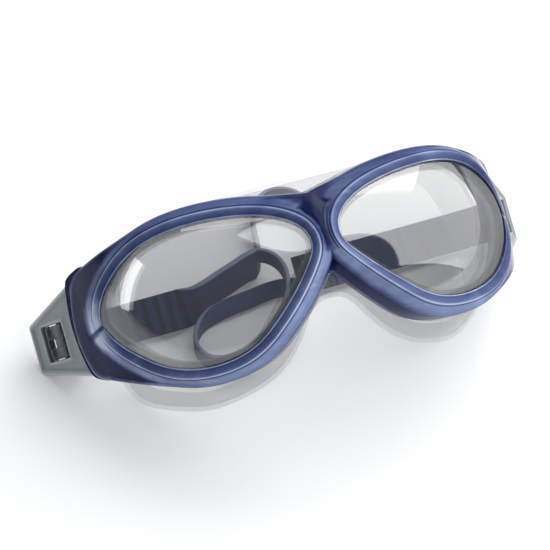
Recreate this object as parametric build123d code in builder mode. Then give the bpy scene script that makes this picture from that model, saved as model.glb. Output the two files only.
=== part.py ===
from build123d import *
import os
from math import cos, sin, radians, sqrt

# Swim-mask style goggles, resting on a table: the lenses lean back, the skirt's two cheek
# lobes and the lower edges of the strap stand on the table.  Units are millimetres.
#
# The mask is drawn upright in its own frame, with x to the wearer's left, "back" towards
# the face and "up" along the nose, and then leans back as one.

lean = 50.0                  # how far the mask leans back from upright, degrees
mask_back = -43.7            # where the nose bridge stands over the table
mask_up = 66.32              # height of the nose bridge above the table

wrap_length = 62.0           # lateral scale of the wrap-around
wrap_bend = 14.5             # quartic part of the wrap
wrap_flat = 3.9              # quadratic part, which flattens the front of each lens
bow_length = 23.3            # vertical scale of the bow
bow_depth = 7.3              # how far the surface falls back over one bow length

lens_turn = 27.0             # how far each lens faces outwards, degrees
lens_x = 42.0                # middle of a lens
lens_back = 8.0
lens_thickness = 2.0
lens_ledge = 2.4             # how far the lens runs in under the bezel
bezel_width = 7.2            # opening to the frame's outer edge
bezel_height = 2.6           # bezel above the lens surface
frame_depth = 6.0            # frame behind the lens surface
retainer_depth = 3.0         # rear retainer behind the front frame
retainer_inset = 1.2         # how far the retainer stays inside the frame's outline
gasket_width = 2.6           # sealing ring, inwards from the opening
gasket_lap = 0.8             # and under the bezel
gap = 0.3                    # clearance between moulded pieces

skirt_wall = 1.6
skirt_lip = 7.0              # sealing lip, turned in at the face side
skirt_flange = 4.0           # flange at the frame side
flange_gap = 0.7             # behind the retainer

arm_x = 86.0                 # where the outer face of an arm starts
arm_back = 50.0
arm_angle = 58.6             # direction of an arm, measured from straight sideways
arm_length = 35.0
arm_corner = 2.0
arm_chamfer = 0.9
arm_face = -1.2              # outer face of the arm, below the frame's skin
arm_thickness = 3.4
arm_mid = 1.6                # height of the strap's centre line in an arm
hinge_s = -0.4               # hinge axis: along the arm, and below its face
hinge_n = -3.4
hinge_radius = 1.0
knuckle_radius = 2.2
lug_radius = 2.6
lug_heights = [(15.0, 20.0), (-13.0, -8.0)]
skin_depth = -0.8            # inner side of the frame's skin over the arm's root
play = 0.05                  # radial clearance of a pin in its hole
window_near = 14.2           # strap window, along the arm
window_far = 27.0
window_low = -4.9
window_high = 8.9
cheek_thickness = 1.6
cheek_depth = -11.5
cheek_near = 15.5
cheek_far = 25.5
roller_s = 20.5
roller_n = -9.0
roller_radius = 2.0
axle_radius = 0.8
lever_s = 24.9               # hinge of the release lever
lever_n = -3.1
lever_pin_radius = 0.7
lever_barrel_radius = 1.5
tooth_count = 4
tooth_pitch = 1.8
tooth_width = 0.8
spring_height = 2.4
spring_gap = 0.3
slot_side = 0.4              # between the strap's edges and the cheeks
through = (-20.0, 30.0)      # heights of a hole that passes right through an arm

strap_width = 16.0
strap_thickness = 1.8
strand_width = 7.4           # each half of the split middle
run_back = 80.6              # the straight runs, behind the nose bridge in the mask's frame
run_end = 74.0               # where a straight run hands over to the stretch that flexes
split_x = -40.0              # where the left run ends and the slack middle starts
join_x = 6.0                 # where the strands join the right run
leg_length = 5.0             # strap on either side of a roller
rib_pitch = 5.0              # of the coarse ribs, by the left buckle
fine_pitch = 2.6             # of the fine ribs, by the nose bridge
fine_span = (8.0, 26.2)
pad_spans = [(27.5, 51.3), (52.5, 61.2), (62.4, 74.0)]
rib_height = 0.7
strap_low = arm_mid - strap_width / 2

side_names = {-1: "left", 1: "right"}

os.makedirs("parts", exist_ok=True)

SIDE = Vector(1, 0, 0)
BACK = Vector(0, cos(radians(lean)), -sin(radians(lean)))
UP = Vector(0, sin(radians(lean)), cos(radians(lean)))
ORIGIN = Vector(0, mask_back, mask_up)


def at(x, back, up):
    """A point of the mask's own frame, in the leaning position."""
    return ORIGIN + SIDE * x + BACK * back + UP * up


def level(up):
    """Plane across the mask at one height: sketch x is sideways, y is towards the face."""
    return Plane(origin=at(0, 0, up), x_dir=SIDE, z_dir=UP)


def front_plane(back):
    """Plane facing straight out of the mask: sketch x is sideways, y is up."""
    return Plane(origin=at(0, back, 0), x_dir=SIDE, z_dir=BACK * -1)


def lens_plane(side, out=0.0):
    """Plane facing out of one lens."""
    turn = radians(lens_turn)
    normal = SIDE * (side * sin(turn)) - BACK * cos(turn)
    across = SIDE * cos(turn) + BACK * (side * sin(turn))
    return Plane(origin=at(side * lens_x, lens_back, 0) + normal * out, x_dir=across, z_dir=normal)


def arm_plane(side, out=0.0):
    """Plane of an arm's outer face: sketch x is side * distance along the arm, y is up."""
    angle = radians(arm_angle)
    normal = SIDE * (side * sin(angle)) - BACK * cos(angle)
    across = SIDE * cos(angle) + BACK * (side * sin(angle))
    return Plane(origin=at(side * arm_x, arm_back, 0) + normal * out, x_dir=across, z_dir=normal)


def arm_level(side, up):
    """Plane across an arm at one height: sketch x is side * distance along, y is inwards."""
    plane = arm_plane(side)
    return Plane(origin=plane.origin + UP * up, x_dir=plane.x_dir, z_dir=UP)


def wrap(x, up, out=0.0):
    """How far back the lens surface lies, or a surface a distance out in front of it."""
    back = wrap_bend * (x / wrap_length) ** 4 - wrap_flat * (x / wrap_length) ** 2
    back += bow_depth * (up / bow_length) ** 2
    slope_x = 4 * wrap_bend * x**3 / wrap_length**4 - 2 * wrap_flat * x / wrap_length**2
    slope_up = 2 * bow_depth * up / bow_length**2
    return back - out * sqrt(1 + slope_x**2 + slope_up**2)


def rim(x, up):
    """How far back the skirt's face side lies."""
    return 18.0 + 50.0 * (abs(x) / 77.0) ** 1.6 + 0.22 * max(0.0, up + 10.0)


shell_steps = [-92, -84, -74, -62, -48, -32, -16, 0, 16, 32, 48, 62, 74, 84, 92]
shell_levels = [-42, -30, -15, 0, 15, 30, 42]


def curved_slab(front, rear):
    """Solid between two surfaces that are given as functions of x and up."""
    with BuildPart() as slab:
        for up in shell_levels:
            with BuildSketch(level(up)):
                with BuildLine():
                    near = Spline(*[(x, front(x, up)) for x in shell_steps])
                    far = Spline(*[(x, rear(x, up)) for x in shell_steps])
                    Line(near @ 0, far @ 0)
                    Line(near @ 1, far @ 1)
                make_face()
        loft()
    return slab.part


def wrap_slab(out, depth):
    """The slab that follows the lens surface, from out in front of it to depth behind it."""
    return curved_slab(lambda x, up: wrap(x, up, out), lambda x, up: wrap(x, up, -depth))


def bezel_face(x, up):
    """Front of the frame: proud of the lens, and nearly flush with the arms at the temples."""
    fade = min(1.0, max(0.0, (abs(x) - 64.0) / 22.0)) ** 2
    return wrap(x, up, bezel_height * (1.0 - 0.8 * fade))


outline_count = 32           # points on a grown outline

# Outline of a lens opening in its own plane: first coordinate grows towards the temple.
opening_points = [
    (46.8, 4.4), (44.2, 11.4), (38.3, 17.5), (27.5, 24.4), (15.5, 27.8), (3.0, 28.5), (-9.0, 27.4),
    (-19.5, 24.9), (-29.0, 20.3), (-34.6, 14.2), (-35.4, 8.8), (-33.2, 4.0), (-27.0, -4.0),
    (-18.0, -12.6), (-8.0, -19.3), (2.5, -22.0), (13.0, -21.6), (23.0, -18.5), (32.2, -12.7),
    (39.8, -6.4), (44.7, -0.7),
]
# Front face of the frame at the temple, beyond the ring round the lens.
temple_points = [(21.0, 33.9), (44.0, 28.0), (58.4, 23.6), (61.4, 12.0), (62.0, 3.0), (61.0, -7.0),
                 (58.3, -15.1), (45.0, -19.4), (20.6, -27.1)]
# Upper edge and underside of the nose bridge, seen from the front.
bridge_points = [(-22.0, 33.0), (0.0, 28.6), (22.0, 33.0), (14.0, 12.0), (6.0, 3.5), (0.0, 5.4),
                 (-6.0, 3.5), (-14.0, 12.0)]


def grown(edge, grow, count):
    """Points along a flat line, moved sideways, to its right, by a distance."""
    points = []
    for i in range(count):
        tangent = edge % (i / count)
        points.append(edge @ (i / count) + Vector(tangent.Y, -tangent.X).normalized() * grow)
    return points


def lens_prism(side, grow):
    """Long prism through one lens opening, grown outwards all round."""
    with BuildPart() as prism:
        with BuildSketch(lens_plane(side, 30.0)):
            with BuildLine():
                Spline(*grown(Edge.make_spline([(side * a, up) for a, up in opening_points], periodic=True),
                              side * grow, outline_count), periodic=True)
            make_face()
        extrude(amount=-70)
    return prism.part


def frame_prism(shrink=0.0):
    """Everything inside the frame's outer outline, from in front of the mask to behind it."""
    with BuildPart() as prism:
        for side in (-1, 1):
            add(lens_prism(side, bezel_width - shrink))
            with BuildSketch(lens_plane(side, 30.0)):
                with BuildLine():
                    Polyline(*[(side * (a - shrink), up * (1 - shrink / 30)) for a, up in temple_points],
                             close=True)
                make_face()
            extrude(amount=-70)
        with BuildSketch(front_plane(-20.0)):
            with BuildLine():
                Polyline(*[(x, up - shrink if up > 20 else up) for x, up in bridge_points], close=True)
            make_face()
        extrude(amount=-60)
    return prism.part


def arm_box(side, near, far, low, high, inner, outer):
    """Block given in an arm's own distances: along it, up, and below its outer face."""
    with BuildPart() as block:
        with BuildSketch(arm_plane(side, outer)):
            with BuildLine():
                Polyline((side * near, low), (side * far, low), (side * far, high), (side * near, high),
                         close=True)
            make_face()
        extrude(amount=inner - outer)
    return block.part


def arm_rod(side, along, below, low, high, radius):
    """Rod parallel to an arm's hinge."""
    with BuildPart() as rod:
        with BuildSketch(arm_level(side, low)):
            with Locations((side * along, -below)):
                Circle(radius)
        extrude(amount=high - low)
    return rod.part


def finish(piece, name):
    piece.label = name
    export_step(piece, f"parts/{name}.step")


# Front frame: one translucent moulding with two lens openings, the nose bridge and, at each
# temple, a pocket with two hinge lugs.
with BuildPart() as front_frame:
    add(curved_slab(bezel_face, lambda x, up: wrap(x, up, -frame_depth)))
    add(frame_prism(), mode=Mode.INTERSECT)
    lens_seat = wrap_slab(gap, frame_depth + 20)
    for side in (-1, 1):
        add(lens_prism(side, 0.0), mode=Mode.SUBTRACT)
        add(lens_prism(side, lens_ledge + gap) & lens_seat, mode=Mode.SUBTRACT)
        # The arm's root lies in a pocket behind the outer skin.
        add(arm_box(side, -6.0, 20.0, -20.0, 27.0, -24.0, skin_depth), mode=Mode.SUBTRACT)
        for low, high in lug_heights:
            add(arm_rod(side, hinge_s, hinge_n, low, high, lug_radius))
            add(arm_box(side, hinge_s - lug_radius, hinge_s + lug_radius, low, high, hinge_n, 0.0))
        low, high = lug_heights[1][0], lug_heights[0][1]
        add(arm_rod(side, hinge_s, hinge_n, low - 1, high + 1, hinge_radius), mode=Mode.SUBTRACT)
finish(front_frame.part, "front_frame")

# Rear retainer: the thinner ring behind the frame that clamps the skirt's flange.
with BuildPart() as rear_frame:
    add(wrap_slab(-frame_depth - gap, frame_depth + gap + retainer_depth))
    add(frame_prism(retainer_inset), mode=Mode.INTERSECT)
    for side in (-1, 1):
        add(lens_prism(side, lens_ledge - 1.0), mode=Mode.SUBTRACT)
        add(arm_box(side, -9.0, 40.0, -40.0, 40.0, -24.0, 20.0), mode=Mode.SUBTRACT)
finish(rear_frame.part, "rear_frame")

# Lenses, and behind each one the clear sealing ring that carries it.
lens_blank = wrap_slab(0.0, lens_thickness)
gasket_blank = wrap_slab(-lens_thickness - 0.02, frame_depth)
for side, name in side_names.items():
    with BuildPart() as lens:
        add(lens_blank)
        add(lens_prism(side, lens_ledge), mode=Mode.INTERSECT)
    finish(lens.part, f"{name}_lens")
    with BuildPart() as lens_gasket:
        add(gasket_blank)
        add(lens_prism(side, gasket_lap), mode=Mode.INTERSECT)
        add(lens_prism(side, -gasket_width), mode=Mode.SUBTRACT)
    finish(lens_gasket.part, f"{name}_lens_gasket")

# Skirt: a thin soft wall from the retainer back to the face, with an inward sealing lip.
# Each pair is (sideways, up) at the frame and at the face, from the brow round to the nose.
skirt_half = [
    ((10.0, 26.5), (10.0, 36.7)), ((24.0, 29.5), (24.0, 37.0)), ((42.0, 31.0), (40.0, 36.6)),
    ((58.0, 29.5), (56.0, 34.0)), ((69.0, 24.0), (68.0, 27.0)), ((74.5, 14.0), (75.0, 16.0)),
    ((75.5, 4.0), (76.8, 2.0)), ((73.5, -6.0), (76.0, -14.0)), ((66.0, -16.5), (71.0, -29.3)),
    ((56.0, -22.5), (61.0, -35.2)), ((46.0, -24.8), (50.0, -38.3)), ((36.0, -23.5), (38.0, -37.3)),
    ((27.0, -18.0), (27.0, -33.8)), ((19.0, -9.5), (18.0, -27.2)), ((11.5, -2.5), (11.0, -18.3)),
    ((5.0, 2.5), (5.0, -11.4)),
]
mirrored = [((-near[0], near[1]), (-far[0], far[1])) for near, far in reversed(skirt_half)]
skirt_rows = skirt_half + mirrored
retainer_back = frame_depth + gap + retainer_depth
near_curve = Edge.make_spline(
    [at(x, wrap(x, up, -retainer_back), up) for (x, up), far in skirt_rows], periodic=True)
far_curve = Edge.make_spline([at(x, rim(x, up), up) for near, (x, up) in skirt_rows], periodic=True)
ring_count = 72


def skirt_ring(share, inset, push):
    """Closed ring of points on the skirt: share 0 is at the frame, 1 at the face."""
    ring = []
    for i in range(ring_count):
        near, far = near_curve @ (i / ring_count), far_curve @ (i / ring_count)
        along = (near_curve % (i / ring_count)) * (1 - share) + (far_curve % (i / ring_count)) * share
        inward = BACK.cross(along).normalized()
        point = near * (1 - share) + far * share + inward * inset + BACK * push
        if share == 0.0:
            # The flange follows the back of the retainer.
            from_nose = point - ORIGIN
            x, up = from_nose.X, from_nose.dot(UP)
            point = at(x, wrap(x, up, -retainer_back - flange_gap - push), up)
        ring.append(point)
    return ring


def skin_solid(rings):
    """Solid whose surface is stretched over rings of points, the last joined to the first."""
    faces = []
    for ring, following in zip(rings, rings[1:] + rings[:1]):
        for i in range(ring_count):
            j = (i + 1) % ring_count
            for corners in ((ring[i], ring[j], following[j]), (ring[i], following[j], following[i])):
                faces.append(Face(Wire.make_polygon(corners, close=True)))
    return Solid(Shell(faces))


face_skirt = skin_solid([
    skirt_ring(0.0, 0.0, 0.0),
    skirt_ring(0.5, -0.8, 0.0),
    skirt_ring(1.0, 0.0, 0.0),
    skirt_ring(1.0, skirt_lip, -3.0),
    skirt_ring(1.0, skirt_lip, -3.0 - skirt_wall),
    skirt_ring(1.0, skirt_wall, -skirt_wall),
    skirt_ring(0.5, skirt_wall - 0.8, 0.0),
    skirt_ring(0.0, skirt_wall, skirt_wall),
    skirt_ring(0.0, skirt_flange, skirt_wall),
    skirt_ring(0.0, skirt_flange, 0.0),
])
finish(face_skirt, "face_skirt")


def arm_outline(side):
    """Outline of an arm seen square on, in the sketch of its own plane."""
    points = [(0.0, 23.4), (arm_length, 11.0), (arm_length, -8.8), (0.0, -15.1)]
    Polyline(*[(side * along, up) for along, up in points], close=True)


# The two arms with their buckles, rollers, release levers and hinges.
slot_low = strap_low - slot_side
slot_high = strap_low + strap_width + slot_side
for side, name in side_names.items():
    face_plane = arm_plane(side)
    with BuildPart() as arm:
        with BuildSketch(arm_plane(side, arm_face)):
            with BuildLine():
                arm_outline(side)
            make_face()
            tip = [v for v in vertices() if abs(face_plane.to_local_coords(v).X) > arm_length / 2]
            fillet(tip, radius=arm_corner)
        extrude(amount=-arm_thickness)
        chamfer(arm.faces().sort_by(Axis(face_plane.origin, face_plane.z_dir))[-1].edges(),
                length=arm_chamfer)
        for low in (slot_low - cheek_thickness, slot_high):
            add(arm_box(side, cheek_near, cheek_far, low, low + cheek_thickness, cheek_depth, arm_face - 1.0))
        add(arm_rod(side, hinge_s, hinge_n, lug_heights[1][1] + gap, lug_heights[0][0] - gap, knuckle_radius))
        for low, high in lug_heights:
            add(arm_box(side, -4.0, hinge_s + lug_radius + gap, low - gap, high + gap, -10.0, 0.0),
                mode=Mode.SUBTRACT)
        add(arm_box(side, window_near, window_far, window_low, window_high, -6.0, 0.0), mode=Mode.SUBTRACT)
        add(arm_rod(side, hinge_s, hinge_n, *through, hinge_radius + play), mode=Mode.SUBTRACT)
        add(arm_rod(side, roller_s, roller_n, *through, axle_radius), mode=Mode.SUBTRACT)
        add(arm_rod(side, lever_s, lever_n, window_low - 2, window_high + 2, lever_pin_radius),
            mode=Mode.SUBTRACT)
        # The lower corner is cut flat where it stands on the table.
        split(bisect_by=Plane.XY, keep=Keep.TOP)
    finish(arm.part, f"{name}_arm")
    finish(arm_rod(side, hinge_s, hinge_n, lug_heights[1][0], lug_heights[0][1], hinge_radius),
           f"{name}_hinge_pin")
    finish(arm_rod(side, roller_s, roller_n, slot_low - cheek_thickness, slot_high + cheek_thickness,
                   axle_radius), f"{name}_roller_axle")
    with BuildPart() as roller:
        add(arm_rod(side, roller_s, roller_n, slot_low + slot_side / 2, slot_high - slot_side / 2,
                    roller_radius))
        add(arm_rod(side, roller_s, roller_n, *through, axle_radius + play), mode=Mode.SUBTRACT)
    finish(roller.part, f"{name}_roller")
    finish(arm_rod(side, lever_s, lever_n, window_low - 2, window_high + 2, lever_pin_radius),
           f"{name}_lever_pin")
    with BuildPart() as lever:
        low, high = window_low + gap, window_high - gap
        add(arm_box(side, window_near + gap, lever_s, low, high, -4.0, -2.2))
        add(arm_rod(side, lever_s, lever_n, low, high, lever_barrel_radius))
        for tooth in range(tooth_count):
            along = window_near + 1.2 + tooth_pitch * tooth
            add(arm_box(side, along, along + tooth_width, low + 1, high - 1, -4.6, -3.0))
        spring_low = arm_mid - spring_height / 2
        spring_high = arm_mid + spring_height / 2
        add(arm_box(side, lever_s - 2.2, lever_s + 3, spring_low - spring_gap, spring_high + spring_gap,
                    -8.0, 0.0), mode=Mode.SUBTRACT)
        add(arm_rod(side, lever_s, lever_n, *through, lever_pin_radius + play), mode=Mode.SUBTRACT)
    finish(lever.part, f"{name}_release_lever")
    with BuildPart() as lever_spring:
        add(arm_rod(side, lever_s, lever_n, spring_low, spring_high, lever_barrel_radius))
        add(arm_rod(side, lever_s, lever_n, *through, lever_pin_radius + 2 * play), mode=Mode.SUBTRACT)
    finish(lever_spring.part, f"{name}_lever_spring")


band_halves = (-strap_thickness / 2, strap_thickness / 2)


def ribbon(points, low, high):
    """Band standing on edge on the table, along points measured from below the nose bridge."""
    with BuildPart() as band:
        with BuildSketch(Plane.XY.offset(low)):
            with BuildLine():
                path = Edge.make_spline([(x, mask_back + behind) for x, behind in points])
                count = 4 * len(points)
                ends = [path @ 1 + Vector((path % 1).Y, -(path % 1).X) * half for half in band_halves]
                near = Spline(*grown(path, band_halves[0], count), ends[0])
                far = Spline(*grown(path, band_halves[1], count), ends[1])
                Line(near @ 0, far @ 0)
                Line(near @ 1, far @ 1)
            make_face()
        extrude(amount=high - low)
    return band.part



def rib_spans(start, end, pitch):
    """Where the ribs of one stretch lie: half the pitch wide, and a whole pitch apart."""
    count = int((end - start) / pitch)
    return [(start + pitch * (i + 0.25), start + pitch * (i + 0.75)) for i in range(count)]


# Head strap: one soft band.  It runs straight out of each buckle behind the mask, ribbed by
# the left buckle and by the nose bridge and padded by the right buckle.  Its slack middle is
# split into two strands, which lie in two loops.
with BuildPart() as head_strap:
    with BuildSketch(level(strap_low)):
        for start, end in ((-run_end, split_x), (join_x, run_end)):
            with Locations(((start + end) / 2, run_back - strap_thickness / 2)):
                Rectangle(end - start, strap_thickness)
        raised = rib_spans(-run_end, split_x, rib_pitch) + rib_spans(*fine_span, fine_pitch) + pad_spans
        for start, end in raised:
            with Locations(((start + end) / 2, run_back - strap_thickness - rib_height / 2)):
                Rectangle(end - start, rib_height + 0.2)
    extrude(amount=strap_width)
    add(ribbon([(-41, 49.5), (-34, 54), (-27, 57), (-19, 60), (-12, 63), (-7, 64)], 0, strap_width))
    add(ribbon([(-7.5, 64), (-2.5, 61.5), (0, 56), (0, 48), (-3, 39), (-10, 30), (-20, 22.5), (-28, 20)],
               strap_width - strand_width, strap_width))
    add(ribbon([(-20, 22.5), (-28, 20), (-34, 20.5)], 0, strap_width))
    add(ribbon([(-34, 20.5), (-40, 24), (-43, 31), (-41.5, 38), (-36, 44), (-27, 47.5), (-14, 49.2),
                (0, 50), (10, 50.4)], 0, strand_width))
    add(ribbon([(-7.5, 64), (-4.5, 68), (-2, 76), (1, 90), (6, 99), (14, 103), (22, 100), (26, 92),
                (25, 82), (21, 72), (18, 62), (16, 54.5)], 0, strand_width))
finish(head_strap.part, "head_strap")

# Each end of the strap: the turn round the roller, and the stretch that flexes with the arm.
roller_x = arm_x + roller_s * cos(radians(arm_angle)) + roller_n * sin(radians(arm_angle))
roller_back = arm_back + roller_s * sin(radians(arm_angle)) - roller_n * cos(radians(arm_angle))
turn_inner = roller_radius + gap
turn_outer = turn_inner + strap_thickness
leg_end = roller_x - leg_length
for side, name in side_names.items():
    with BuildPart() as strap_end:
        with BuildSketch(level(strap_low)):
            with Locations((side * roller_x, roller_back)):
                Circle(turn_outer)
            with Locations((side * (leg_end + roller_x) / 2, roller_back)):
                Rectangle(leg_length, 2 * turn_outer)
            with Locations((side * roller_x, roller_back)):
                Circle(turn_inner, mode=Mode.SUBTRACT)
            with Locations((side * (leg_end + roller_x) / 2, roller_back)):
                Rectangle(leg_length, 2 * turn_inner, mode=Mode.SUBTRACT)
        extrude(amount=strap_width)
    finish(strap_end.part, f"{name}_strap_end")
    with BuildPart() as strap_flex:
        with BuildSketch(level(strap_low)):
            with BuildLine():
                Polyline((side * (leg_end - 0.2), roller_back + turn_inner),
                         (side * (leg_end - 0.2), roller_back + turn_outer),
                         (side * (run_end + 0.2), run_back),
                         (side * (run_end + 0.2), run_back - strap_thickness), close=True)
            make_face()
        extrude(amount=strap_width)
    finish(strap_flex.part, f"{name}_strap_flex")
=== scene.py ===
import bmesh
import bpy
import numpy as np
from math import cos, pi, radians, sin
from mathutils import Matrix, Quaternion, Vector


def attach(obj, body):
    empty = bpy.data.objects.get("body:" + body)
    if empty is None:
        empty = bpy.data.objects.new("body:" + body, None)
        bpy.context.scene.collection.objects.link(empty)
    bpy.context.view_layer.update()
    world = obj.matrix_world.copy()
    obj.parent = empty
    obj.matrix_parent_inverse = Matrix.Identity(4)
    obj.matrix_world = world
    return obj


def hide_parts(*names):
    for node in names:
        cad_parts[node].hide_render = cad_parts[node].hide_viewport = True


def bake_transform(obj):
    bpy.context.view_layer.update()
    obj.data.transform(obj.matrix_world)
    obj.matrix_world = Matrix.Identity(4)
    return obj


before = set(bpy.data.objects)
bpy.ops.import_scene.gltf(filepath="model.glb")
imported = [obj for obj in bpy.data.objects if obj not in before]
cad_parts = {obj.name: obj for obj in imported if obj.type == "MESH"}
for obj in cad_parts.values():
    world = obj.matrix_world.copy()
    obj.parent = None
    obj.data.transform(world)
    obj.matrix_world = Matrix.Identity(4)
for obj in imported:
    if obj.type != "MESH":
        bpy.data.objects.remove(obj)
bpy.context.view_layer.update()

# Lengths are in millimetres, and become metres when a mesh is made.  The mask is drawn in its
# own frame (x sideways, "back" towards the face, "up" along the nose) and leans back as one.
MM = 0.001
LEAN = radians(50.0)
MASK_BACK = -43.7
MASK_UP = 66.32
LENS_TURN = radians(27.0)
LENS_X = 42.0
LENS_BACK = 8.0
ARM_X = 86.0
ARM_BACK = 50.0
ARM_ANGLE = radians(58.6)
HINGE_ALONG, HINGE_BELOW = -0.4, -3.4
ROLLER_ALONG, ROLLER_BELOW = 20.5, -9.0
ARM_MID = 1.6
SIDES = {"left": -1, "right": 1}
COLUMNS = 300                # points round a lens
MIDDLE_SNAP = 0.35           # points this near the middle are moved onto it

# Outline of a lens opening in the lens's plane; the first coordinate grows towards the temple.
OPENING = [
    (46.8, 4.4), (44.2, 11.4), (38.3, 17.5), (27.5, 24.4), (15.5, 27.8), (3.0, 28.5), (-9.0, 27.4),
    (-19.5, 24.9), (-29.0, 20.3), (-34.6, 14.2), (-35.4, 8.8), (-33.2, 4.0), (-27.0, -4.0),
    (-18.0, -12.6), (-8.0, -19.3), (2.5, -22.0), (13.0, -21.6), (23.0, -18.5), (32.2, -12.7),
    (39.8, -6.4), (44.7, -0.7),
]
LENS_MIDDLE = np.array([7.0, 4.0])
TEMPLE = [(21.0, 33.9), (44.0, 28.0), (58.4, 23.6), (61.4, 12.0), (62.0, 3.0), (61.0, -7.0),
          (58.3, -15.1), (45.0, -19.4), (20.6, -27.1)]
BRIDGE = [(-22.0, 33.0), (0.0, 28.6), (22.0, 33.0), (14.0, 12.0), (6.0, 3.5), (0.0, 5.4),
          (-6.0, 3.5), (-14.0, 12.0)]
BEZEL_WIDTH = 7.2
BEZEL_HEIGHT = 2.6

# Skirt outline: (sideways, up) at the frame and at the face, from the brow round to the nose.
SKIRT_HALF = [
    ((10.0, 26.5), (10.0, 36.7)), ((24.0, 29.5), (24.0, 37.0)), ((42.0, 31.0), (40.0, 36.6)),
    ((58.0, 29.5), (56.0, 34.0)), ((69.0, 24.0), (68.0, 27.0)), ((74.5, 14.0), (75.0, 16.0)),
    ((75.5, 4.0), (76.8, 2.0)), ((73.5, -6.0), (76.0, -14.0)), ((66.0, -16.5), (71.0, -29.3)),
    ((56.0, -22.5), (61.0, -35.2)), ((46.0, -24.8), (50.0, -38.3)), ((36.0, -23.5), (38.0, -37.3)),
    ((27.0, -18.0), (27.0, -33.8)), ((19.0, -9.5), (18.0, -27.2)), ((11.5, -2.5), (11.0, -18.3)),
    ((5.0, 2.5), (5.0, -11.4)),
]


# ---------------------------------------------------------------- geometry helpers

def at(x, back, up):
    """Row-frame points, in millimetres, of points in the mask's own frame."""
    return np.stack([x + 0.0 * up, MASK_BACK + back * cos(LEAN) + up * sin(LEAN),
                     MASK_UP + up * cos(LEAN) - back * sin(LEAN)], axis=-1)


def wrap(x, up, out=0.0):
    """How far back the lens surface lies, or a surface a distance out in front of it."""
    back = 14.5 * (x / 62.0) ** 4 - 3.9 * (x / 62.0) ** 2 + 7.3 * (up / 23.3) ** 2
    slope_x = 58.0 * x**3 / 62.0**4 - 7.8 * x / 62.0**2
    slope_up = 14.6 * up / 23.3**2
    return back - out * np.sqrt(1 + slope_x**2 + slope_up**2)


def on_lens(across, up, out):
    """Mask-frame x and back of points over the right lens, given in its plane and by height."""
    depth = np.zeros(np.broadcast(across, up, out).shape)
    for _ in range(24):
        x = LENS_X + across * cos(LENS_TURN) + depth * sin(LENS_TURN)
        depth = depth + 0.6 * (LENS_BACK + across * sin(LENS_TURN) - depth * cos(LENS_TURN)
                               - wrap(x, up, out))
    return (LENS_X + across * cos(LENS_TURN) + depth * sin(LENS_TURN),
            LENS_BACK + across * sin(LENS_TURN) - depth * cos(LENS_TURN))


def closed_curve(corners, count):
    """Smooth closed curve through corner points, as count evenly spaced points."""
    corners = np.array(corners, float)
    n = len(corners)
    chord = np.linalg.norm(np.roll(corners, -1, 0) - corners, axis=1)
    system = np.zeros((n, n))
    right = np.zeros(corners.shape)
    for i in range(n):
        before, after, j = chord[i - 1], chord[i], (i + 1) % n
        system[i, i - 1] += before
        system[i, i] += 2 * (before + after)
        system[i, j] += after
        right[i] = 6 * ((corners[j] - corners[i]) / after - (corners[i] - corners[i - 1]) / before)
    bend = np.linalg.solve(system, right)
    ends = np.concatenate([[0], np.cumsum(chord)])
    where = np.linspace(0, ends[-1], count, endpoint=False)
    k = np.clip(np.searchsorted(ends, where, side="right") - 1, 0, n - 1)
    j = (k + 1) % n
    h = chord[k][:, None]
    t = (where - ends[k])[:, None]
    return ((bend[k] * (h - t) ** 3 + bend[j] * t**3) / (6 * h)
            + (corners[k] / h - bend[k] * h / 6) * (h - t) + (corners[j] / h - bend[j] * h / 6) * t)


def open_curve(corners, step):
    """Smooth line through corner points, as points about a step apart."""
    corners = np.array(corners, float)
    n = len(corners)
    chord = np.linalg.norm(corners[1:] - corners[:-1], axis=1)
    system = np.eye(n)
    right = np.zeros(corners.shape)
    for i in range(1, n - 1):
        system[i, i - 1:i + 2] = chord[i - 1], 2 * (chord[i - 1] + chord[i]), chord[i]
        right[i] = 6 * ((corners[i + 1] - corners[i]) / chord[i]
                        - (corners[i] - corners[i - 1]) / chord[i - 1])
    bend = np.linalg.solve(system, right)
    ends = np.concatenate([[0], np.cumsum(chord)])
    where = np.linspace(0, ends[-1], int(ends[-1] / step) + 2)
    k = np.clip(np.searchsorted(ends, where, side="right") - 1, 0, n - 2)
    h = chord[k][:, None]
    t = (where - ends[k])[:, None]
    return ((bend[k] * (h - t) ** 3 + bend[k + 1] * t**3) / (6 * h)
            + (corners[k] / h - bend[k] * h / 6) * (h - t)
            + (corners[k + 1] / h - bend[k + 1] * h / 6) * t)


def inside(x, y, polygon):
    """Which points lie inside a polygon."""
    found = np.zeros(np.broadcast(x, y).shape, bool)
    for (x0, y0), (x1, y1) in zip(polygon, polygon[1:] + polygon[:1]):
        if y0 != y1:
            crosses = (y0 > y) != (y1 > y)
            found ^= crosses & (x < x0 + (y - y0) * (x1 - x0) / (y1 - y0))
    return found


def grid_faces(rows, columns, rows_closed, columns_closed):
    """Quads between the points of a grid that is stored row by row."""
    faces = []
    for r in range(rows if rows_closed else rows - 1):
        for c in range(columns if columns_closed else columns - 1):
            s, d = (r + 1) % rows, (c + 1) % columns
            faces.append((r * columns + c, r * columns + d, s * columns + d, s * columns + c))
    return faces


def make_mesh(name, points, faces, smooth=40.0, shade=None):
    """Object from points in millimetres; shade gives each point's painted light and shade, for its
    material.
    """
    mesh = bpy.data.meshes.new(name)
    mesh.from_pydata([tuple(p) for p in np.asarray(points) * MM], [], faces)
    if shade is not None:
        values = mesh.attributes.new("shade", "FLOAT", "POINT").data
        values.foreach_set("value", shade.astype(np.float32))
    obj = bpy.data.objects.new(name, mesh)
    bpy.context.scene.collection.objects.link(obj)
    tidy_mesh(obj, smooth)
    return obj


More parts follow.
